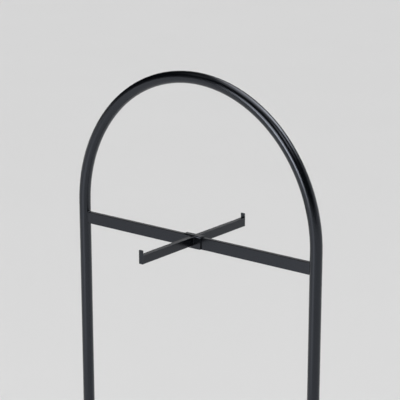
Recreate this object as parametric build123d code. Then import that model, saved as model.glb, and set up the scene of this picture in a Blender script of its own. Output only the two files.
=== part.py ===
from build123d import *
import math
import os

# A four way clothing rack: a tube bent into an arch, a flat crossbar between its legs, and a
# cross arm unit that straddles the middle of the bar and holds one arm to each side.
# Millimetres. The origin is on the floor under the middle, +X along the crossbar, -Y to the front.

# Overall sizes
overall_height = 1600.0
leg_joint_height = 740.0          # where the arch tube meets the lower leg tubes

# Arch tube and legs
tube_diameter = 25.0
tube_wall = 1.5
tube_end_chamfer = 0.4
arch_half_width = 303.0           # middle of the rack to the tube's centreline
arch_rise = 309.6                 # spring line to the top of the centreline
side_arc_angle = 45.0             # each side arc, before the crown arc takes over

# Joint between the arch and each lower leg
spigot_length = 120.0
spigot_wall = 2.0
spigot_clearance = 0.1
joint_screw_offset = 30.0         # each screw, above or below the joint
joint_screw_diameter = 6.0
joint_screw_length = 9.0
thread_clearance = 0.06
screw_hole_clearance = 0.25       # all round a shank where it passes through a wall

# Heads of the socket screws
screw_head_ratio = 1.75           # head diameter over thread diameter
screw_head_height = 3.3
screw_head_rounding = 2.0
screw_socket_flats = 4.0
screw_socket_depth = 1.8

# Crossbar
bar_drop = 21.1                   # spring line down to the bar's top face
bar_height = 25.5
bar_depth = 10.0
bar_wall = 1.5
bar_corner = 1.2
weld_gap = 0.05                   # between a coped end and the tube that it is welded to

# Saddle and its liner
saddle_length = 44.0
saddle_sheet = 2.0
saddle_corner = 1.0
liner_thickness = 0.4
liner_running_gap = 0.3           # bar face to liner, each side
liner_fit = 0.1                   # liner to saddle plate, each side
corner_relief = 0.3               # how much tighter an inside bend is than the corner in it

# Arms and their end stops
arm_reach = 170.2                 # middle of the rack to the outer face of an end stop
arm_height = 18.75
arm_width = 10.0
arm_wall = 1.2
arm_corner = 1.0
arm_top_drop = 0.2                # arm's top face below the bar's
stop_thickness = 2.0
stop_rise = 10.0
stop_corner = 1.5

# Lower crossbar
lower_bar_middle = 150.0          # height of its middle above the floor
lower_bar_height = 25.0
lower_bar_depth = 15.0
lower_bar_wall = 1.5
lower_bar_corner = 1.5
bar_plug_length = 22.0
bar_plug_clearance = 0.1
bar_bolt_diameter = 6.0
bar_bolt_grip = 15.0              # thread inside the plug
bar_bolt_end_gap = 2.0            # hole deeper than the bolt's end
bar_washer_diameter = 15.0
bar_washer_thickness = 1.5
bar_washer_gap = 0.05             # hollow side of the washer to the tube

# Feet
foot_length = 450.0               # over the end caps
foot_width = 30.0
foot_height = 20.0
foot_wall = 1.5
foot_corner = 2.0
foot_clearance = 12.0             # floor to the underside of the foot
cap_thickness = 3.0
cap_rounding = 1.2
cap_insert = 12.0
cap_wall = 1.6
cap_clearance = 0.1

# Bolt that holds each leg on its foot
leg_bolt_diameter = 8.0
leg_bolt_grip = 18.0
leg_bolt_flats = 13.0
leg_bolt_head = 5.3
leg_washer_diameter = 16.0
leg_washer_thickness = 1.6
leg_plug_length = 26.0
leg_plug_clearance = 0.1
leg_plug_chamfer = 1.0
sleeve_wall = 2.0

# Levelling glides
glide_inset = 30.0                # end of the foot to the glide's middle
glide_thread = 8.0
glide_stud_rise = 16.0            # stud above the underside of the foot
glide_collar_height = 4.0
glide_collar_flats = 13.0
glide_pad_diameter = 28.0
glide_pad_rounding = 2.0
glide_pad_chamfer = 0.6
glide_pad_floor = 2.2
glide_neck_diameter = 10.0
glide_running_clearance = 0.06
glide_disc_diameter = 13.0
glide_disc_height = 2.4
glide_disc_clearance = 0.3
weld_nut_flats = 13.0
weld_nut_height = 6.0

# Worked out from the sizes above
tube_radius = tube_diameter / 2
bore_radius = tube_radius - tube_wall
spring_height = overall_height - tube_radius - arch_rise
bar_top = spring_height - bar_drop
bar_middle = bar_top - bar_height / 2
bar_bottom = bar_top - bar_height
arm_top = bar_top - arm_top_drop
arm_middle = arm_top - arm_height / 2
foot_bottom = foot_clearance
foot_middle = foot_bottom + foot_height / 2
foot_top = foot_bottom + foot_height
foot_tube_length = foot_length - 2 * cap_thickness
glide_y = foot_length / 2 - glide_inset
liner_half_gap = bar_depth / 2 + liner_running_gap
saddle_half_gap = liner_half_gap + liner_thickness + liner_fit
saddle_half_depth = saddle_half_gap + saddle_sheet
liner_inner_bend = bar_corner - corner_relief
saddle_inner_bend = liner_inner_bend + liner_thickness - corner_relief
sides = {"left": -1, "right": 1}
ends = {"front": -1, "rear": 1}

os.makedirs("parts", exist_ok=True)


def save(node, *solids):
    """Write one node, as a single solid or as a group of separate ones."""
    shape = solids[0] if len(solids) == 1 else Compound(children=list(solids))
    export_step(shape, f"parts/{node}.step")


def upright(radius, low, high):
    """A round bar on the Z axis between two heights."""
    return Pos(0, 0, (low + high) / 2) * Cylinder(radius, high - low)


def lying(plane, radius, start, end):
    """A round bar along a plane's normal, between two distances from its origin."""
    return plane * upright(radius, start, end)


def flat_tube(plane, width, height, wall, corner, length):
    """A rectangular tube, centred on a plane, along its normal."""
    section = RectangleRounded(width, height, corner) - Rectangle(width - 2 * wall, height - 2 * wall)
    return extrude(plane * section, amount=length / 2, both=True)


def socket_screw(diameter, shank):
    """A button head screw along Z: underside of the head at 0, shank below it."""
    head = upright(diameter * screw_head_ratio / 2, 0, screw_head_height)
    head = fillet(head.edges().group_by(Axis.Z)[-1], screw_head_rounding)
    socket = extrude(RegularPolygon(screw_socket_flats / 2, 6, major_radius=False), screw_socket_depth)
    head -= Pos(0, 0, screw_head_height - screw_socket_depth) * socket
    return head + upright(diameter / 2, -shank, 0)


def hex_bolt(diameter, shank, flats, head_height):
    """A hexagon head bolt along Z: underside of the head at 0, shank above it."""
    head = extrude(RegularPolygon(flats / 2, 6, major_radius=False), -head_height)
    return head + upright(diameter / 2, 0, shank)


def channel(half_gap, thickness, roof, floor, inner_bend, length):
    """An inverted U of sheet along X: roof is the underside of its web."""
    hollow = Pos(0, (roof + floor) / 2) * Rectangle(2 * half_gap, roof - floor)
    hollow = fillet(hollow.vertices().group_by(Axis.Y)[-1], inner_bend)
    outside = Pos(0, (roof + thickness + floor) / 2)
    outside = outside * Rectangle(2 * (half_gap + thickness), roof + thickness - floor)
    outside = fillet(outside.vertices().group_by(Axis.Y)[-1], inner_bend + thickness)
    return extrude(Plane.YZ * (outside - hollow), amount=length / 2, both=True)


# Arch tube: up the left leg, two side arcs and a crown arc, down the right leg. The side arcs start
# upright at the spring line, and each meets the crown arc at a common tangent.
side_sine = math.sin(math.radians(side_arc_angle))
side_cosine = math.cos(math.radians(side_arc_angle))
radius_step = (arch_rise - arch_half_width) / (side_cosine + side_sine - 1)
side_radius = arch_half_width + radius_step * side_cosine
crown_radius = side_radius - radius_step
crown_middle = spring_height + arch_rise - crown_radius
side_middle = side_radius - arch_half_width
crown_angle = 180 - 2 * side_arc_angle
arch_path = Curve() + [
    Line((-arch_half_width, 0, leg_joint_height), (-arch_half_width, 0, spring_height)),
    Plane.XZ * CenterArc((side_middle, spring_height), side_radius, 180, -side_arc_angle),
    Plane.XZ * CenterArc((0, crown_middle), crown_radius, 180 - side_arc_angle, -crown_angle),
    Plane.XZ * CenterArc((-side_middle, spring_height), side_radius, side_arc_angle, -side_arc_angle),
    Line((arch_half_width, 0, spring_height), (arch_half_width, 0, leg_joint_height)),
]
tube_section = Circle(tube_radius) - Circle(bore_radius)
arch_tube = sweep(Pos(-arch_half_width, 0, leg_joint_height) * tube_section, path=arch_path)
arch_ends = arch_tube.edges().filter_by(GeomType.CIRCLE).group_by(Axis.Z)[0].group_by(SortBy.LENGTH)[-1]
arch_tube = chamfer(arch_ends, tube_end_chamfer)

# Joint screws enter from the rear, through the tube wall, and thread into the spigot.
screw_hole_radius = joint_screw_diameter / 2 + screw_hole_clearance
spigot_radius = bore_radius - spigot_clearance
joint_screws = []
for name, side in sides.items():
    x = side * arch_half_width
    leg = Pos(x, 0, 0) * (upright(tube_radius, foot_top, leg_joint_height)
                          - upright(bore_radius, foot_top, leg_joint_height))
    top_edge = leg.edges().filter_by(GeomType.CIRCLE).group_by(Axis.Z)[-1].sort_by(SortBy.LENGTH)[-1]
    leg = chamfer(top_edge, tube_end_chamfer)
    spigot_low = leg_joint_height - spigot_length / 2
    spigot_high = leg_joint_height + spigot_length / 2
    spigot = Pos(x, 0, 0) * (upright(spigot_radius, spigot_low, spigot_high)
                             - upright(spigot_radius - spigot_wall, spigot_low, spigot_high))
    for step in (-1, 1):
        seat = Plane((x, 0, leg_joint_height + step * joint_screw_offset), z_dir=(0, 1, 0))
        wall_hole = lying(seat, screw_hole_radius, 0, tube_diameter)
        leg -= wall_hole
        arch_tube -= wall_hole
        spigot -= lying(seat, joint_screw_diameter / 2 + thread_clearance, 0, tube_diameter)
        joint_screws.append(seat * Pos(0, 0, tube_radius)
                            * socket_screw(joint_screw_diameter, joint_screw_length))
    save(f"{name}_leg_spigot", spigot)

    # Lower crossbar bolt: through both walls of the leg, from outside.
    bolt_line = Plane((0, 0, lower_bar_middle), z_dir=(side, 0, 0))
    leg -= lying(bolt_line, bar_bolt_diameter / 2 + screw_hole_clearance,
                 arch_half_width - tube_diameter, arch_half_width + tube_diameter)
    save(f"{name}_leg_tube", leg)
save("arch_tube", arch_tube)
save("leg_joint_screws", *joint_screws)

# Crossbar, coped to the legs at both ends and welded there.
crossbar = Pos(0, 0, bar_middle) * flat_tube(
    Plane.YZ, bar_depth, bar_height, bar_wall, bar_corner, 2 * arch_half_width)
for side in sides.values():
    crossbar -= Pos(side * arch_half_width, 0, 0) * upright(tube_radius + weld_gap, bar_bottom, bar_top)
save("crossbar", crossbar)

# Saddle over the bar, with a thin liner that slides on it.
liner = channel(liner_half_gap, liner_thickness, bar_top, bar_bottom, liner_inner_bend, saddle_length)
save("saddle_liner", liner)
saddle = channel(saddle_half_gap, saddle_sheet, bar_top + liner_thickness, bar_bottom,
                 saddle_inner_bend, saddle_length)
plate_corners = saddle.edges().filter_by(Axis.Y).group_by(Axis.Z)[0]
saddle = fillet(plate_corners, saddle_corner)
save("saddle", saddle)

# Arms, welded to the saddle's plates, each closed by an end stop that stands above it.
arm_length = arm_reach - stop_thickness - saddle_half_depth
for name, end in ends.items():
    middle = end * (saddle_half_depth + arm_length / 2)
    arm = flat_tube(Plane.XZ, arm_width, arm_height, arm_wall, arm_corner, arm_length)
    save(f"{name}_arm", Pos(0, middle, arm_middle) * arm)
    stop = Box(arm_width, stop_thickness, arm_height + stop_rise)
    stop = fillet(stop.edges().filter_by(Axis.Y).group_by(Axis.Z)[-1], stop_corner)
    stop_y = end * (arm_reach - stop_thickness / 2)
    save(f"{name}_end_stop", Pos(0, stop_y, arm_middle + stop_rise / 2) * stop)

# Lower crossbar: a threaded plug in each end takes a bolt through the leg.
lower_bar = Pos(0, 0, lower_bar_middle) * flat_tube(
    Plane.YZ, lower_bar_depth, lower_bar_height, lower_bar_wall, lower_bar_corner, 2 * arch_half_width)
bolt_depth = arch_half_width - tube_radius - bar_bolt_grip
bar_plugs = []
bar_bolts = []
bar_washers = []
for side in sides.values():
    leg_space = Pos(side * arch_half_width, 0, 0) * upright(
        tube_radius + weld_gap, lower_bar_middle - lower_bar_height, lower_bar_middle + lower_bar_height)
    lower_bar -= leg_space
    along = Plane((0, 0, lower_bar_middle), z_dir=(side, 0, 0))
    plug_start = arch_half_width - tube_radius - bar_plug_length
    plug = Pos(side * (plug_start + arch_half_width) / 2, 0, lower_bar_middle) * Box(
        arch_half_width - plug_start,
        lower_bar_depth - 2 * (lower_bar_wall + bar_plug_clearance),
        lower_bar_height - 2 * (lower_bar_wall + bar_plug_clearance))
    plug -= leg_space
    plug -= lying(along, bar_bolt_diameter / 2 + thread_clearance,
                  bolt_depth - bar_bolt_end_gap, arch_half_width)
    bar_plugs.append(plug)
    washer_face = arch_half_width + tube_radius + bar_washer_thickness
    washer = lying(along, bar_washer_diameter / 2, arch_half_width, washer_face)
    washer -= lying(along, bar_bolt_diameter / 2 + screw_hole_clearance, arch_half_width, washer_face)
    washer -= Pos(side * arch_half_width, 0, 0) * upright(
        tube_radius + bar_washer_gap, lower_bar_middle - bar_washer_diameter,
        lower_bar_middle + bar_washer_diameter)
    bar_washers.append(washer)
    bar_bolts.append(along * Pos(0, 0, washer_face)
                     * socket_screw(bar_bolt_diameter, washer_face - bolt_depth))
save("lower_crossbar", lower_bar)
save("lower_crossbar_plugs", *bar_plugs)
save("lower_crossbar_bolts", *bar_bolts)
save("lower_crossbar_washers", *bar_washers)

# Feet: one tube under each leg, with a bolt from below, end caps and nuts for the glides.
bolt_hole_radius = leg_bolt_diameter / 2 + screw_hole_clearance
nut_floor = foot_bottom + foot_wall
leg_bolts = []
leg_washers = []
leg_sleeves = []
weld_nuts = []
for name, side in sides.items():
    x = side * arch_half_width
    foot = Pos(x, 0, foot_middle) * flat_tube(
        Plane.XZ, foot_width, foot_height, foot_wall, foot_corner, foot_tube_length)
    foot -= Pos(x, 0, 0) * upright(bolt_hole_radius, foot_bottom, foot_top)
    plug = upright(bore_radius - leg_plug_clearance, foot_top, foot_top + leg_plug_length)
    plug = chamfer(plug.edges().group_by(Axis.Z)[-1], leg_plug_chamfer)
    plug -= upright(leg_bolt_diameter / 2 + thread_clearance, foot_top, foot_top + leg_plug_length)
    save(f"{name}_leg_plug", Pos(x, 0, 0) * plug)
    head_seat = foot_bottom - leg_washer_thickness
    bolt = hex_bolt(leg_bolt_diameter, foot_top + leg_bolt_grip - head_seat, leg_bolt_flats, leg_bolt_head)
    leg_bolts.append(Pos(x, 0, head_seat) * bolt)
    leg_washers.append(Pos(x, 0, 0) * (upright(leg_washer_diameter / 2, head_seat, foot_bottom)
                                       - upright(bolt_hole_radius, head_seat, foot_bottom)))
    sleeve = upright(bolt_hole_radius + sleeve_wall, nut_floor, foot_top - foot_wall)
    sleeve -= upright(bolt_hole_radius, nut_floor, foot_top - foot_wall)
    leg_sleeves.append(Pos(x, 0, 0) * sleeve)
    for end_name, end in ends.items():
        y = end * glide_y
        foot -= Pos(x, y, 0) * upright(glide_thread / 2 + screw_hole_clearance, foot_bottom, nut_floor)
        nut = extrude(RegularPolygon(weld_nut_flats / 2, 6, major_radius=False), weld_nut_height)
        nut -= upright(glide_thread / 2 + glide_running_clearance, 0, weld_nut_height)
        weld_nuts.append(Pos(x, y, nut_floor) * nut)

        # End cap: a flange over the tube's end and a hollow insert inside it.
        flange = extrude(RectangleRounded(foot_width, foot_height, foot_corner), cap_thickness)
        flange = fillet(flange.faces().sort_by(Axis.Z)[-1].edges(), cap_rounding)
        insert_width = foot_width - 2 * (foot_wall + cap_clearance)
        insert_height = foot_height - 2 * (foot_wall + cap_clearance)
        insert = extrude(Rectangle(insert_width, insert_height)
                         - Rectangle(insert_width - 2 * cap_wall, insert_height - 2 * cap_wall), -cap_insert)
        cap_plane = Plane((x, end * foot_tube_length / 2, foot_middle), x_dir=(1, 0, 0), z_dir=(0, end, 0))
        save(f"{name}_{end_name}_end_cap", cap_plane * (flange + insert))

        # Glide: a stud with a hexagon collar, free to turn in a pad that stays flat on the floor.
        pad_top = foot_bottom - glide_collar_height
        disc_low = glide_pad_floor + glide_disc_clearance
        disc_high = disc_low + glide_disc_height
        stud = extrude(RegularPolygon(glide_collar_flats / 2, 6, major_radius=False), glide_collar_height)
        stud = Pos(0, 0, pad_top) * stud
        stud += upright(glide_thread / 2, pad_top, foot_bottom + glide_stud_rise)
        stud += upright(glide_neck_diameter / 2, disc_low, pad_top)
        stud += upright(glide_disc_diameter / 2, disc_low, disc_high)
        save(f"{name}_{end_name}_glide_stud", Pos(x, y, 0) * stud)
        pad = upright(glide_pad_diameter / 2, 0, pad_top)
        pad = fillet(pad.edges().group_by(Axis.Z)[-1], glide_pad_rounding)
        pad = chamfer(pad.edges().group_by(Axis.Z)[0], glide_pad_chamfer)
        pad -= upright(glide_neck_diameter / 2 + glide_running_clearance, glide_pad_floor, pad_top)
        pad -= upright(glide_disc_diameter / 2 + glide_disc_clearance, glide_pad_floor,
                       disc_high + glide_disc_clearance)
        save(f"{name}_{end_name}_glide_pad", Pos(x, y, 0) * pad)
    save(f"{name}_foot_tube", foot)
save("leg_bolts", *leg_bolts)
save("leg_bolt_washers", *leg_washers)
save("leg_bolt_sleeves", *leg_sleeves)
save("foot_weld_nuts", *weld_nuts)
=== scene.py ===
# %% [markdown]
# A four way clothing rack, given its light and its finishes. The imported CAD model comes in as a
# fixed frame: every tube, screw and glide is already in its place and at its size, in metres, with the
# origin on the floor under the middle of the rack. What is left is what the eye reads as real:
# the light, the powder coat and the other finishes, the beads of weld at the joints, and the
# small rounding that every real edge has.

# %% Load the frame
import math

import bmesh
import bpy
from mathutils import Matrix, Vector


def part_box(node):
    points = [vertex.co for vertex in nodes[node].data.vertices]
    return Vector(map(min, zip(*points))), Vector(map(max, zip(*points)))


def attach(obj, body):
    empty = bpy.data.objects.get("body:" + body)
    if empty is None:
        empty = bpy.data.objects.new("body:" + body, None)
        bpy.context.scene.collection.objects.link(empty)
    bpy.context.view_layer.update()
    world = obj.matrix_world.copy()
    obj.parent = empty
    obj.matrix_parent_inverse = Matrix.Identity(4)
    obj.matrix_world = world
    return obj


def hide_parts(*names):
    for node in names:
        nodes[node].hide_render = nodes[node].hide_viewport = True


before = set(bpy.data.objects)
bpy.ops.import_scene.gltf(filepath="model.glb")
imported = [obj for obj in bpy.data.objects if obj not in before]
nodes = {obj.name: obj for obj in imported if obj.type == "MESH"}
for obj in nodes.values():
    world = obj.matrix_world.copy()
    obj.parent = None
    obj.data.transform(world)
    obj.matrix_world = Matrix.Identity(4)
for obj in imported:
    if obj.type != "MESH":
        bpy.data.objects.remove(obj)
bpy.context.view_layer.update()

mm = 0.001

# %% [markdown]
# Four small helpers do most of the wiring below. Colours are written as sRGB hex, the way a paint
# card gives them, and one function turns them into the linear numbers that shaders work in.
# Another adds a node: its properties are set by name, and each input gets either a plain value
# or another node's output, which is then linked. The last two start a material and put a new
# object into the scene.

# %% Helpers
def linear(hex_colour):
    """An sRGB hex colour as linear red, green, blue and alpha, by the sRGB curve's own numbers."""
    channels = [int(hex_colour[i:i + 2], 16) / 255 for i in (0, 2, 4)]
    return tuple(c / 12.92 if c <= 0.04045 else ((c + 0.055) / 1.055) ** 2.4 for c in channels) + (1.0,)


def add(tree, kind, inputs=(), **properties):
    """A new node. inputs is {name or number: a value, or an output to link}."""
    node = tree.nodes.new(kind)
    for name, value in properties.items():
        setattr(node, name, value)
    for name, value in dict(inputs).items():
        if isinstance(value, bpy.types.NodeSocket):
            tree.links.new(value, node.inputs[name])
        else:
            node.inputs[name].default_value = value
    return node


def surface(name):
    """A new material, with its node tree and its shader."""
    material = bpy.data.materials.new(name)
    material.use_nodes = True
    return material, material.node_tree, material.node_tree.nodes["Principled BSDF"]


def placed(name, data):
    """A new object in the scene, from a mesh, a lamp or a camera."""
    thing = bpy.data.objects.new(name, data)
    bpy.context.scene.collection.objects.link(thing)
    return thing


print("white is", linear("ffffff"))

# %% [markdown]
# The camera stands to the right of the front, a little above the top of the arch, and looks
# slightly down at the place where the cross arm sits. A long lens from three metres keeps the
# two legs nearly parallel, as catalogues show such racks. It frames the upper half of the rack.

# %% Camera
def direction(azimuth, elevation):
    """The way from the rack towards something: azimuth 0 is the front and 90 the right side."""
    a, e = math.radians(azimuth), math.radians(elevation)
    return Vector((math.sin(a) * math.cos(e), -math.cos(a) * math.cos(e), math.sin(e)))


camera_azimuth = 38.12
camera_elevation = 15.61
camera_distance = 3.1596
camera_lens = 138.98               # millimetres, on a sensor 36 mm wide
aim_right = 0.0155                 # the aim, right of the middle of the rack
aim_above_bar = 0.0786             # and above the crossbar's top face

bar_low, bar_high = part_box("crossbar")
aim = Vector((aim_right, 0, bar_high.z + aim_above_bar))
to_camera = direction(camera_azimuth, camera_elevation)
camera = placed("camera", bpy.data.cameras.new("camera"))
camera.data.lens = camera_lens
camera.location = aim + to_camera * camera_distance
camera.rotation_euler = to_camera.to_track_quat("Z", "Y").to_euler()
scene = bpy.context.scene
scene.camera = camera
scene.view_settings.view_transform = "Standard"
print("camera at", [round(v, 3) for v in camera.location])

# %% [markdown]
# The floor is a plain pale studio floor: matt paint on boards, wide enough to run out of every
# view. A sheet of four corners is all it needs, because nothing on it shows but its tone and
# the rack's shadow. Its grain is a slow, faint change of tone, as in a rolled coat of paint.

# %% Floor
floor_reach = 80.0                 # metres from the middle to each edge
floor_patch = 0.8                  # metres, size of the slow changes of tone
floor_tones = ("d8d8d8", "dadada")
floor_roughness = 0.9              # matt emulsion
floor_sheen = 0.0                  # so matt that it mirrors nothing, even at a glancing angle

floor_mesh = bpy.data.meshes.new("studio_floor")
corners = [(x * floor_reach, y * floor_reach, 0) for x, y in ((-1, -1), (1, -1), (1, 1), (-1, 1))]
floor_mesh.from_pydata(corners, [], [(0, 1, 2, 3)])
floor = placed("studio_floor", floor_mesh)

floor_paint, tree, shader = surface("matt floor paint")
place = add(tree, "ShaderNodeTexCoord")
patches = add(tree, "ShaderNodeTexNoise", {"Vector": place.outputs["Object"], "Scale": 1 / floor_patch})
tone = add(tree, "ShaderNodeMix", {"Factor": patches.outputs["Fac"], "A": linear(floor_tones[0]),
                                   "B": linear(floor_tones[1])}, data_type="RGBA")
tree.links.new(tone.outputs["Result"], shader.inputs["Base Color"])
shader.inputs["Roughness"].default_value = floor_roughness
shader.inputs["Specular IOR Level"].default_value = floor_sheen
floor_mesh.materials.append(floor_paint)
print("floor", floor_reach * 2, "m across")

# %% [markdown]
# The room. A black glossy tube shows little paint of its own: what the eye reads on it is the
# room, mirrored softly. Lamps alone would leave the rack flat and black between a few sparks,
# so the world is built as a studio would be, seen from the rack. Dim drapes hang all round at
# the floor's level, with pale walls in front of them at the back and the front and a pale flat
# on the left and the right, which carry on the floor's tone. Behind the rack is a dimmer wall
# with a large softbox high above it on the right and a weaker one beside it. One softbox stands
# in front and reaches the floor, and its reflection is the long pale line on each leg. A small
# one hangs on the right, a faint one on the left, and the ceiling is lit. What is left is
# unlit, and that is what makes the shoulders of the arch deep black. The camera sees this same
# room, so from some sides a level view has drapes or a softbox behind the rack. Each panel is a
# soft-edged rectangle in azimuth and elevation, in degrees, and the panels are added up.

# %% World
world = bpy.data.worlds.new("studio")
scene.world = world
world.use_nodes = True
tree = world.node_tree
place = add(tree, "ShaderNodeTexCoord")
axes = add(tree, "ShaderNodeSeparateXYZ", {0: place.outputs["Generated"]})
front = add(tree, "ShaderNodeMath", {0: axes.outputs["Y"], 1: -1.0}, operation="MULTIPLY")
turn = add(tree, "ShaderNodeMath", {0: axes.outputs["X"], 1: front.outputs[0]}, operation="ARCTAN2")
azimuth = add(tree, "ShaderNodeMath", {0: turn.outputs[0]}, operation="DEGREES")
rise = add(tree, "ShaderNodeMath", {0: axes.outputs["Z"]}, operation="ARCSINE")
elevation = add(tree, "ShaderNodeMath", {0: rise.outputs[0]}, operation="DEGREES")


full_turn = 360.0                  # degrees: a panel this wide runs all round


def inside(tree, angle, middle, width, edge):
    """1 within width degrees around middle, 0 outside, with an edge that fades."""
    offset = add(tree, "ShaderNodeMath", {0: angle, 1: middle}, operation="SUBTRACT")
    offset = add(tree, "ShaderNodeMath", {0: offset.outputs[0], 1: full_turn / 2, 2: -full_turn / 2},
                 operation="WRAP")
    offset = add(tree, "ShaderNodeMath", {0: offset.outputs[0]}, operation="ABSOLUTE")
    fade = add(tree, "ShaderNodeMapRange", {
        "Value": offset.outputs[0], "From Min": (width - edge) / 2, "From Max": (width + edge) / 2,
        "To Min": 1.0, "To Max": 0.0}, interpolation_type="SMOOTHSTEP")
    return fade.outputs["Result"]


# name: azimuth, elevation, width, height, edge, brightness
panels = {
    "low drapes": (0, 0, 360, 17, 3, 0.14),
    "low back wall": (172, 0, 130, 17, 4, 0.42),
    "low front wall": (-8, 0, 40, 17, 4, 0.42),
    "low left flat": (-90, 0, 18, 17, 4, 0.42),
    "low right flat": (90, 0, 18, 17, 4, 0.42),
    "front softbox": (-10, 10, 28, 30, 2, 5.3),
    "front softbox foot": (-10, 0, 28, 9, 4, 7.0),
    "back wall": (-152, 17, 44, 20, 14, 0.45),
    "back right wall": (140, 16, 60, 26, 14, 0.5),
    "back softbox": (151, 53, 46, 34, 14, 6.2),
    "back left softbox": (197, 57, 44, 26, 14, 3.2),
    "side softbox": (56, 51, 24, 17, 8, 3.0),
    "ceiling": (0, 90, 360, 36, 20, 1.6),
    "ceiling light": (160, 76, 100, 12, 10, 1.8),
    "upper left": (-66, 53, 24, 12, 8, 0.6),
}
total = 0.0
for name, (middle, height, wide, tall, edge, brightness) in panels.items():
    across = inside(tree, azimuth.outputs[0], middle, wide, edge) if wide < full_turn else 1.0
    upright = inside(tree, elevation.outputs[0], height, tall, edge)
    shape = add(tree, "ShaderNodeMath", {0: across, 1: upright}, operation="MULTIPLY")
    panel = add(tree, "ShaderNodeMath", {0: shape.outputs[0], 1: brightness, 2: total},
                operation="MULTIPLY_ADD")
    total = panel.outputs[0]
tree.links.new(total, tree.nodes["Background"].inputs["Color"])
print("panels", len(panels))

# %% [markdown]
# Three lamps light the floor from above. Two make soft round pools in front of the rack, a
# near one and a far one, a little left of the middle, and the legs and the bar mirror them. The
# third hangs over the rack and lets the floor fall off gently behind it. A tube mirrors
# everything, so all three are hidden from reflections and draw no lines of their own. Blender
# spreads a spot's power over a whole sphere, so the floor below gets that power over four pi
# times the height squared.

# %% Pools on the floor
# name: azimuth, distance, height, angle of the cone, what a white floor gains at the middle
pools = {
    "front_pool": (-7, 3.8, 5.0, 60, 0.27),
    "far_pool": (-9, 11.5, 9.0, 55, 0.30),
    "rack_pool": (0, 0.0, 5.0, 150, 0.065),
}
pool_softness = 0.4                # metres, radius of each lamp
for name, (middle, distance, height, angle, brightness) in pools.items():
    lamp = bpy.data.lights.new(name, "SPOT")
    lamp.energy = brightness * math.pi * 4 * math.pi * height ** 2
    lamp.spot_size = math.radians(angle)
    lamp.spot_blend = 1.0          # fades from the middle out
    lamp.shadow_soft_size = pool_softness
    pool = placed(name, lamp)
    pool.location = direction(middle, 0) * distance
    pool.location.z = height
    pool.visible_glossy = False
    print(name, round(lamp.energy), "W")

# %% [markdown]
# One more light is there only for the gloss: a low reflector, a pale board that stands on the
# floor in front of the rack. The legs mirror it as a soft stripe left of their middles. A board
# of mesh would also stand in the way of a view from behind, so it is an area lamp, turned
# towards the rack, that neither the camera nor any matt surface sees. An area lamp sends its
# power out over pi times its area, which gives the power for a brightness.

# %% Low reflector
reflector_azimuth, reflector_distance = -7, 2.4
reflector_width, reflector_height = 1.4, 0.8
reflector_brightness = 0.48        # where 1 is white

lamp = bpy.data.lights.new("low_reflector", "AREA")
lamp.shape = "RECTANGLE"
lamp.size, lamp.size_y = reflector_width, reflector_height
lamp.energy = reflector_brightness * math.pi * reflector_width * reflector_height
reflector = placed("low_reflector", lamp)
reflector.location = direction(reflector_azimuth, 0) * reflector_distance
reflector.location.z = reflector_height / 2
reflector.rotation_euler = direction(reflector_azimuth, 0).to_track_quat("Z", "Y").to_euler()
reflector.visible_camera = False
reflector.visible_diffuse = False
print("reflector", round(lamp.energy, 2), "W")

# %% [markdown]
# Every finish starts the same way: a new material, its shader, and the object's own coordinates
# in metres. All the CAD parts share one origin, so a pattern runs on from part to part.
# Patterns are named by the size of one of their grains, in millimetres.

# %% Start of a finish
def finish(name, roughness, ior=None, metallic=0.0):
    """A new material with its node tree, its shader and the object's own coordinates."""
    material, tree, shader = surface(name)
    shader.inputs["Metallic"].default_value = metallic
    shader.inputs["Roughness"].default_value = roughness
    if ior:
        shader.inputs["IOR"].default_value = ior
    return material, tree, shader, add(tree, "ShaderNodeTexCoord").outputs["Object"]


plain_detail = 2.0                 # how many layers of finer noise a pattern has


def grain(tree, place, size, stretch=(1, 1, 1), detail=plain_detail):
    """Noise from 0 to 1 with grains of that size in millimetres, longer along some axes."""
    scale = tuple(1 / (size * mm * s) for s in stretch)
    scaled = add(tree, "ShaderNodeVectorMath", {0: place, 1: scale}, operation="MULTIPLY")
    noise = add(tree, "ShaderNodeTexNoise", {"Vector": scaled.outputs[0], "Scale": 1.0,
                                             "Detail": detail})
    return noise.outputs["Fac"]


noise_range = (0.3, 0.7)           # nearly all of a noise lies between these


def spread(tree, fac, low, high):
    """A noise stretched so that it runs from low to high."""
    return add(tree, "ShaderNodeMapRange", {
        "Value": fac, "From Min": noise_range[0], "From Max": noise_range[1],
        "To Min": low, "To Max": high}).outputs["Result"]


def blend(tree, fac, low_colour, high_colour):
    """A colour between two hex colours."""
    mixed = add(tree, "ShaderNodeMix", {"Factor": fac, "A": linear(low_colour),
                                        "B": linear(high_colour)}, data_type="RGBA")
    return mixed.outputs["Result"]


def relief(tree, shader, layers):
    """Bump on the shader's normal: layers are (height from 0 to 1, its depth in millimetres)."""
    normal = None
    for height, depth in layers:
        inputs = {"Height": height, "Distance": depth * mm}
        if normal:
            inputs["Normal"] = normal
        normal = add(tree, "ShaderNodeBump", inputs).outputs["Normal"]
    tree.links.new(normal, shader.inputs["Normal"])


print("noise runs from", *noise_range)

# %% [markdown]
# The frame is steel tube with a satin black powder coat. The powder is sprayed on dry and baked,
# and it melts into a skin about 0.08 mm thick. It gives the eye a blue-black depth, a soft but
# clear mirror of the room, a faint orange peel with waves 2 to 3 mm long, and a fine grit under
# that. The tone and the gloss drift slowly along a tube, as the spray was thicker or thinner.
# The grit is drawn at 0.5 mm, several times the real one, or it would vanish between samples.
#
# Where something slides, the coat is polished: hangers run along the tops of the arms, and the
# saddle along the top of the crossbar. These get fine streaks of higher gloss, on upward faces
# only. Real scuffs are hair fine, and these are drawn 0.6 mm wide so that they show.

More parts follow.
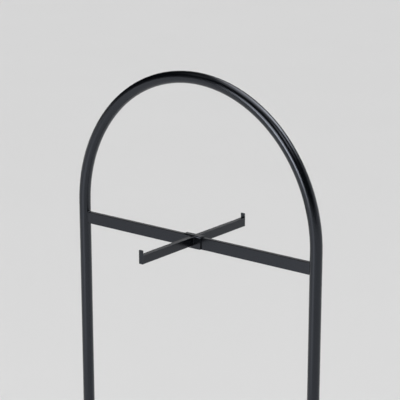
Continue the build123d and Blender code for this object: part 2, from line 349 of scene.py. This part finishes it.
# %% Powder coat
coat_tones = ("05070a", "07090c")
coat_roughness = 0.225
coat_drift = 0.015                      # how far the gloss drifts each way
tone_patch, gloss_patch = 60, 35        # millimetres, sizes of the patches that drift
coat_ior = 1.59                         # a polyester resin full of pigment
arm_roughness, arm_ior = 0.20, 1.5      # a smoother skin on the arms, whose resin mirrors a little less
coat_glint = (0.81, 0.865, 1.0, 1.0)    # the blue-black pigment also cools the gloss a little
peel = (2.5, 0.03)                      # orange peel: its waves and their depth, in millimetres
grit = (0.5, 0.004)                     # the grit under it
facing_up = (0.75, 0.95)                # how upright a face is, where rubbing starts and is full
streak_width = 0.6                      # millimetres
streak_range = (-0.5, 1.0)              # below 0 is coat that nothing has touched
rubbed_gloss = 0.05                     # how much smoother the most rubbed streak is
streak_detail = 3.0
along_bar, along_arm = (120, 1, 1), (1, 90, 1)      # how many times longer than wide a streak is


def powder_coat(name, roughness=coat_roughness, ior=coat_ior, rubbed=None):
    """The coat, polished in streaks along rubbed, a stretch along x, y and z."""
    material, tree, shader, place = finish(name, roughness, ior)
    shader.inputs["Specular Tint"].default_value = coat_glint
    tree.links.new(blend(tree, grain(tree, place, tone_patch), *coat_tones), shader.inputs["Base Color"])
    gloss = spread(tree, grain(tree, place, gloss_patch), roughness - coat_drift, roughness + coat_drift)
    if rubbed:
        streaks = spread(tree, grain(tree, place, streak_width, rubbed, streak_detail), *streak_range)
        up = add(tree, "ShaderNodeSeparateXYZ", {0: add(tree, "ShaderNodeNewGeometry").outputs["Normal"]})
        top = add(tree, "ShaderNodeMapRange", {"Value": up.outputs["Z"], "From Min": facing_up[0],
                                               "From Max": facing_up[1], "To Max": rubbed_gloss})
        worn = add(tree, "ShaderNodeMath", {0: streaks, 1: top.outputs["Result"]}, operation="MULTIPLY",
                   use_clamp=True)
        smoother = add(tree, "ShaderNodeMath", {0: gloss, 1: worn.outputs[0]}, operation="SUBTRACT")
        gloss = smoother.outputs[0]
    tree.links.new(gloss, shader.inputs["Roughness"])
    relief(tree, shader, [(grain(tree, place, waves), depth) for waves, depth in (peel, grit)])
    return material


finishes = {"powder_coat": powder_coat("satin black powder coat")}
rubbed_bar = powder_coat("powder coat rubbed by the saddle", rubbed=along_bar)
rubbed_arm = powder_coat("powder coat rubbed by hangers", arm_roughness, arm_ior, along_arm)
for coat in (finishes["powder_coat"], rubbed_bar, rubbed_arm):
    print(coat.name, "nodes", len(coat.node_tree.nodes))

# %% [markdown]
# The other finishes differ only in their numbers: a tone and a gloss that both vary in patches,
# and a fine relief. So one function makes them all, and each finish says what it is made of.
# Every size and depth in it is in millimetres, and a pair is a range from low to high.

# %% Varied finish
def varied(name, tones, tone_size, gloss, gloss_size, fine, ior=None, metallic=0.0):
    """A finish with patches of tone and gloss, and fine relief (size, stretch, depth)."""
    material, tree, shader, place = finish(name, sum(gloss) / 2, ior, metallic)
    tree.links.new(blend(tree, grain(tree, place, tone_size), *tones), shader.inputs["Base Color"])
    tree.links.new(spread(tree, grain(tree, place, gloss_size), *gloss), shader.inputs["Roughness"])
    size, stretch, depth = fine
    relief(tree, shader, [(grain(tree, place, size, stretch), depth)])
    print(name, "gloss", gloss)
    return material

# %% [markdown]
# The button head screws and their washers are steel with black oxide: a thin black layer grown
# in a hot bath and then oiled. The metal still shines through it, so it is a metal with a very
# dark colour, not a paint. The oil leaves patches of more and less gloss about a millimetre
# across, and the relief is the fine scale of the forged head.

# %% Black oxide
finishes["black_screws"] = varied(
    "black oxide steel", tones=("232427", "303136"), tone_size=3, gloss=(0.3, 0.42), gloss_size=1.2,
    fine=(0.4, (1, 1, 1), 0.004), metallic=1.0)

# %% [markdown]
# The glides' studs, the bolts under the feet and the inner plugs are steel with bright zinc
# plate. It is a light, slightly blue metal with a soft cloudy shine: the plating's crystals give
# patches of tone about 2 mm across, and the turned steel below gives fine rings. They are drawn
# as level lines 0.35 mm apart, several times the real feed of a lathe, or they wouldn't show.

# %% Zinc plate
finishes["zinc_steel"] = varied(
    "bright zinc plate", tones=("a7acb0", "c9cdcf"), tone_size=2, gloss=(0.24, 0.38), gloss_size=0.8,
    fine=(0.35, (8, 8, 1), 0.006), metallic=1.0)

# %% [markdown]
# The end caps and the glides' pads are moulded polypropylene, coloured black in the mass. The
# mould was spark eroded, which leaves an even grain of shallow pits, drawn here at 0.7 mm, and
# takes the shine off. Handling polishes it a little in places.

# %% Moulded plastic
finishes["black_plastic"] = varied(
    "moulded black polypropylene", tones=("101113", "151618"), tone_size=12, gloss=(0.4, 0.52),
    gloss_size=6, fine=(0.7, (1, 1, 1), 0.02), ior=1.49)

# %% [markdown]
# The saddle's liner is a strip of black nylon, extruded and then folded over the bar. Extruding
# leaves faint lines along its length, 0.4 mm apart, and nylon has a waxy half shine.

# %% Nylon
finishes["nylon"] = varied(
    "extruded black nylon", tones=("141518", "1a1b1e"), tone_size=8, gloss=(0.38, 0.48), gloss_size=4,
    fine=(0.4, (60, 1, 1), 0.01), ior=1.53)

# %% [markdown]
# The CAD model says which finish each part has, in the name of its material slot. Each slot now
# gets its finish, and the crossbar and the two arms get the rubbed coats: the streaks run along
# each of them, so they can't share one.

# %% Finishes onto the CAD parts
for name, node in nodes.items():
    for spot in node.material_slots:
        spot.material = finishes[spot.material.name]
nodes["crossbar"].material_slots[0].material = rubbed_bar
for name in ("front_arm", "rear_arm"):
    nodes[name].material_slots[0].material = rubbed_arm
print("finished", len(nodes))

# %% [markdown]
# No real edge is sharp. Sheared sheet and stamped washers have edges broken to a few tenths of a
# millimetre, and the coat rounds them again. The CAD leaves these edges crisp, and a bevel rounds
# them here: that is what gives each one its thin line of light. The parts' surfaces come in as
# separate patches, so a weld first joins the points that lie on each other.

# %% Edges
edge_angle = math.radians(40)
same_point = 0.001 * mm
bevel_steps = 2
# part: rounding in millimetres
edges = {
    "saddle": 0.35, "front_end_stop": 0.35, "rear_end_stop": 0.35, "leg_bolts": 0.3,
    "leg_bolt_washers": 0.2, "lower_crossbar_washers": 0.25, "leg_joint_screws": 0.15,
    "lower_crossbar_bolts": 0.15,
}
for name, rounding in edges.items():
    join = nodes[name].modifiers.new("join patches", "WELD")
    join.merge_threshold = same_point
    soften = nodes[name].modifiers.new("broken edges", "BEVEL")
    soften.width = rounding * mm
    soften.segments = bevel_steps
    soften.limit_method = "ANGLE"
    soften.angle_limit = edge_angle
    soften.harden_normals = True
print("rounded", len(edges))

# %% [markdown]
# The crossbar is welded to the legs, the arms to the saddle's plates, and each end stop to its
# arm. A bead of weld fills the inside corner between two parts: it touches each along a toe, is
# slightly crowned, and carries the ripples of a torch moved on a step at a time. These beads are
# small and neat, a thin sheet welder's, and the coat covers them. Each is a closed mesh, swept
# along the joint: a row of points for each station, from a root sunk in the corner over the
# crown. The ripples are crescents, so they lag towards the toes. A plain tube bent along the
# joint would be quicker, but it would lie on the corner instead of filling it.

# %% Bead of weld
bead_step = 0.2 * mm               # from one station to the next
bead_crown = 0.05 * mm             # how far the middle of a bead stands out
ripple_pitch = 1.1 * mm
ripple_depth = 0.05 * mm
ripple_lag = 0.35                  # of a pitch, from the middle to the toes
bead_rows = 6                      # steps from toe to toe
sunk = 0.03 * mm                   # toes lie this deep in the parts
root_depth = 0.3 * mm
full_crown_at = 4                  # crowns wide: a narrower bead is flatter


def weld(name, stations, body, closed):
    """A bead. Each station is (root, toe on one part, toe on the other)."""
    middles = [(first + second) / 2 for _, first, second in stations]
    runs = [0.0]
    for a, b in zip(middles, middles[1:] + middles[:1]):
        runs.append(runs[-1] + (b - a).length)
    length = runs[-1] if closed else runs[-2]      # an open bead doesn't run back to its start
    ripples = round(length / ripple_pitch)
    shape = bmesh.new()
    rows = []
    for run, middle, (root, first, second) in zip(runs, middles, stations):
        outward = (middle - root).normalized()
        full = min(1.0, (second - first).length / (bead_crown * full_crown_at))
        row = [root]
        for k in range(bead_rows + 1):
            across = k / bead_rows
            crown = math.sin(math.pi * across)
            ripple = abs(math.sin(math.pi * (run / length * ripples + ripple_lag * crown)))
            stand = full * crown * (bead_crown + ripple_depth * ripple)
            row.append(first.lerp(second, across) + outward * stand)
        rows.append([shape.verts.new(point) for point in row])
    follow = rows[1:] + rows[:1] if closed else rows[1:]
    for row, after in zip(rows, follow):
        for k in range(len(row)):
            shape.faces.new((row[k], row[k - 1], after[k - 1], after[k]))
    if not closed:
        shape.faces.new(rows[0])
        shape.faces.new(reversed(rows[-1]))
    bmesh.ops.recalc_face_normals(shape, faces=shape.faces)
    mesh = bpy.data.meshes.new(name)
    shape.to_mesh(mesh)
    shape.free()
    mesh.shade_smooth()
    mesh.materials.append(finishes["powder_coat"])
    piece = placed(name, mesh)
    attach(piece, body)
    print(name, "length", round(length / mm, 1), "mm, ripples", ripples, "points", len(mesh.vertices))


corner_fineness = 2                # steps are this many times shorter round a corner


def outline(width, height, corner):
    """Points round a rounded rectangle, each with the way out of it: (u, v, out u, out v)."""
    points = []
    turns = round(math.pi / 2 * corner / bead_step) * corner_fineness
    for quarter in range(4):
        base = quarter * math.pi / 2
        side = (height if quarter % 2 == 0 else width) - 2 * corner
        middle_u = (width / 2 - corner) * (1 if quarter in (0, 3) else -1)
        middle_v = (height / 2 - corner) * (1 if quarter in (0, 1) else -1)
        # the straight that leads to this corner, then the corner itself
        steps = round(side / bead_step)
        out_u, out_v = math.cos(base), math.sin(base)
        for k in range(steps):
            back = side * (1 - k / steps)
            points.append((middle_u + corner * out_u + back * out_v,
                           middle_v + corner * out_v - back * out_u, out_u, out_v))
        for k in range(turns):
            angle = base + math.pi / 2 * k / turns
            points.append((middle_u + corner * math.cos(angle), middle_v + corner * math.sin(angle),
                           math.cos(angle), math.sin(angle)))
    return points

# %% [markdown]
# The crossbar's ends are shaped to the round legs, so their beads run round a flat bar on a
# cylinder: the toe on the leg follows the cylinder's surface.

# %% Crossbar beads
bar_corner = 1.2 * mm
bar_leg = 0.6 * mm                 # how far the bead reaches along each part
tube_low, tube_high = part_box("arch_tube")
tube_radius = (tube_high.y - tube_low.y) / 2
leg_x = tube_high.x - tube_radius
bar_middle = (bar_low.z + bar_high.z) / 2


def leg_face(y):
    """How far out the leg's surface is, seen along the bar."""
    return leg_x - math.sqrt(tube_radius ** 2 - y ** 2)


for side, sign in (("left", -1), ("right", 1)):
    stations = []
    for y, z, out_y, out_z in outline(bar_high.y - bar_low.y, bar_high.z - bar_low.z, bar_corner):
        z += bar_middle
        inner_y, outer_y = y - out_y * root_depth, y + out_y * bar_leg
        stations.append((
            Vector((sign * (leg_face(inner_y) + root_depth), inner_y, z - out_z * root_depth)),
            Vector((sign * (leg_face(y) - bar_leg), y - out_y * sunk, z - out_z * sunk)),
            Vector((sign * (leg_face(outer_y) + sunk), outer_y, z + out_z * bar_leg))))
    weld(side + "_crossbar_weld", stations, "frame", closed=True)

# %% [markdown]
# The arms' beads run round each arm's end on the saddle's plate. The plate bends over at its top,
# just where the upper run of the bead sits, so the toe there follows the bend.

# %% Arm beads
arm_corner = 1.0 * mm
arm_leg = 0.4 * mm
saddle_bend = 3.0 * mm
saddle_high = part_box("saddle")[1]


def plate_face(z):
    """How far out the saddle's plate is at that height."""
    over = z - (saddle_high.z - saddle_bend)
    if over <= 0:
        return saddle_high.y
    return saddle_high.y - saddle_bend + math.sqrt(saddle_bend ** 2 - over ** 2)


for end, sign in (("front", -1), ("rear", 1)):
    arm_low, arm_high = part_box(end + "_arm")
    arm_middle = (arm_low.z + arm_high.z) / 2
    stations = []
    for x, z, out_x, out_z in outline(arm_high.x - arm_low.x, arm_high.z - arm_low.z, arm_corner):
        z += arm_middle
        outer_z = z + out_z * arm_leg
        stations.append((
            Vector((x - out_x * root_depth, sign * (plate_face(z) - root_depth), z - out_z * root_depth)),
            Vector((x - out_x * sunk, sign * (plate_face(z) + arm_leg), z - out_z * sunk)),
            Vector((x + out_x * arm_leg, sign * (plate_face(outer_z) - sunk), outer_z))))
    weld(end + "_arm_weld", stations, "cross_arm", closed=True)

# %% [markdown]
# An end stop is as wide as its arm, so the only inside corner is across the arm's top. The bead
# there runs from side to side and thins out towards both ends.

# %% End stop beads
stop_leg = 0.6 * mm
stop_taper = 0.6 * mm              # length over which it thins out
thin_end = 0.01                    # what is left at the very end, so that the mesh stays closed

for end, sign in (("front", -1), ("rear", 1)):
    arm_low, arm_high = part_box(end + "_arm")
    stop_low, stop_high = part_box(end + "_end_stop")
    stop_face = min(abs(stop_low.y), abs(stop_high.y))
    reach = arm_high.x - arm_corner / 2
    steps = round(2 * reach / bead_step)
    stations = []
    for k in range(steps + 1):
        x = reach * (2 * k / steps - 1)
        size = stop_leg * math.sqrt(min(1.0, (reach - abs(x)) / stop_taper) + thin_end)
        stations.append((
            Vector((x, sign * (stop_face + root_depth), arm_high.z - root_depth)),
            Vector((x, sign * (stop_face - size), arm_high.z - sunk)),
            Vector((x, sign * (stop_face + sunk), arm_high.z + size))))
    weld(end + "_stop_weld", stations, "cross_arm", closed=False)

# %% [markdown]
# Each levelling glide turns on an M8 screw. The CAD has its thread as a plain rod, and that shows
# as soon as a glide is wound out. Relief in the finish can't cut a thread's outline, so the stud
# is made again as a turned piece: rings of points from the bottom up, each with a radius for
# every angle, joined into one closed skin. A disc and a neck sit in the pad, and a hexagon
# collar takes the spanner. Above it the radius follows a helix that rises by a pitch each turn,
# with flat crests an eighth of a pitch wide, flat roots twice as wide and straight flanks.

# %% Glide studs
points_round = 60                  # a multiple of the hexagon's six corners
rings_per_pitch = 10
thread_radius = 4.0 * mm           # M8
thread_pitch = 1.25 * mm
thread_depth = 0.61 * thread_pitch      # as deep as a metric thread is cut
crest_flat, root_flat = 1 / 8, 1 / 4    # of a pitch
runout = 0.8 * mm                  # plain neck between the collar and the thread
neck_radius = 5.0 * mm
disc_radius, disc_height = 6.5 * mm, 2.4 * mm
broken_edge = 0.3 * mm
corner_trim = 0.35 * mm            # how much of the hexagon's corners is turned off
hexagon_step = math.pi / 3


def circle(radius):
    """A plain round ring."""
    return lambda angle: radius


def hexagon(flat_radius, trim=0.0):
    """A hexagon with its corners on the x axis, turned down by trim."""
    corner = flat_radius / math.cos(hexagon_step / 2) - trim
    return lambda angle: min(corner, flat_radius / math.cos(angle % hexagon_step - hexagon_step / 2))


def thread(height, top):
    """A right-hand thread at that height, chamfered at the top."""
    def radius(angle):
        phase = (height / thread_pitch - angle / (2 * math.pi)) % 1
        flank = (1 - abs(2 * phase - 1) - crest_flat) / (1 - crest_flat - root_flat)
        cut = thread_depth * min(max(flank, 0.0), 1.0)
        return thread_radius - max(cut, height - top + thread_depth)
    return radius


def turned(name, rings, middle):
    """A closed piece from rings: (height, the radius at an angle), from the bottom up."""
    angles = [2 * math.pi * k / points_round for k in range(points_round)]
    shape = bmesh.new()
    rows = [[shape.verts.new((radius(a) * math.cos(a), radius(a) * math.sin(a), height)) for a in angles]
            for height, radius in rings]
    for row, above in zip(rows, rows[1:]):
        for k in range(points_round):
            shape.faces.new((row[k - 1], row[k], above[k], above[k - 1]))
    shape.faces.new(reversed(rows[0]))
    shape.faces.new(rows[-1])
    mesh = bpy.data.meshes.new(name)
    shape.to_mesh(mesh)
    shape.free()
    mesh.shade_smooth()
    mesh.set_sharp_from_angle(angle=edge_angle)
    piece = placed(name, mesh)
    piece.location = (middle.x, middle.y, 0)
    return piece


for side in ("left", "right"):
    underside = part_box(side + "_foot_tube")[0].z
    for end in ("front", "rear"):
        corner = side + "_" + end
        low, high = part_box(corner + "_glide_stud")
        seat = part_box(corner + "_glide_pad")[1].z
        flats = (high.y - low.y) / 2
        rings = [
            (low.z, circle(disc_radius - broken_edge)),
            (low.z + broken_edge, circle(disc_radius)),
            (low.z + disc_height - broken_edge, circle(disc_radius)),
            (low.z + disc_height, circle(disc_radius - broken_edge)),
            (low.z + disc_height, circle(neck_radius)),
            (seat, circle(neck_radius)),
            (seat, hexagon(flats, corner_trim)),
            (seat + corner_trim, hexagon(flats)),
            (underside - corner_trim, hexagon(flats)),
            (underside, hexagon(flats, corner_trim)),
            (underside, circle(thread_radius - thread_depth)),
            (underside + runout, circle(thread_radius - thread_depth)),
        ]
        first = underside + runout
        steps = round((high.z - first) / thread_pitch * rings_per_pitch)
        for k in range(1, steps + 1):
            height = first + (high.z - first) * k / steps
            rings.append((height, thread(height, high.z)))
        stud = turned(corner + "_threaded_stud", rings, (low + high) / 2)
        stud.data.materials.append(finishes["zinc_steel"])
        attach(stud, corner + "_glide_screw")
        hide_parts(corner + "_glide_stud")
        print(stud.name, "rings", len(rings), "points", len(stud.data.vertices))
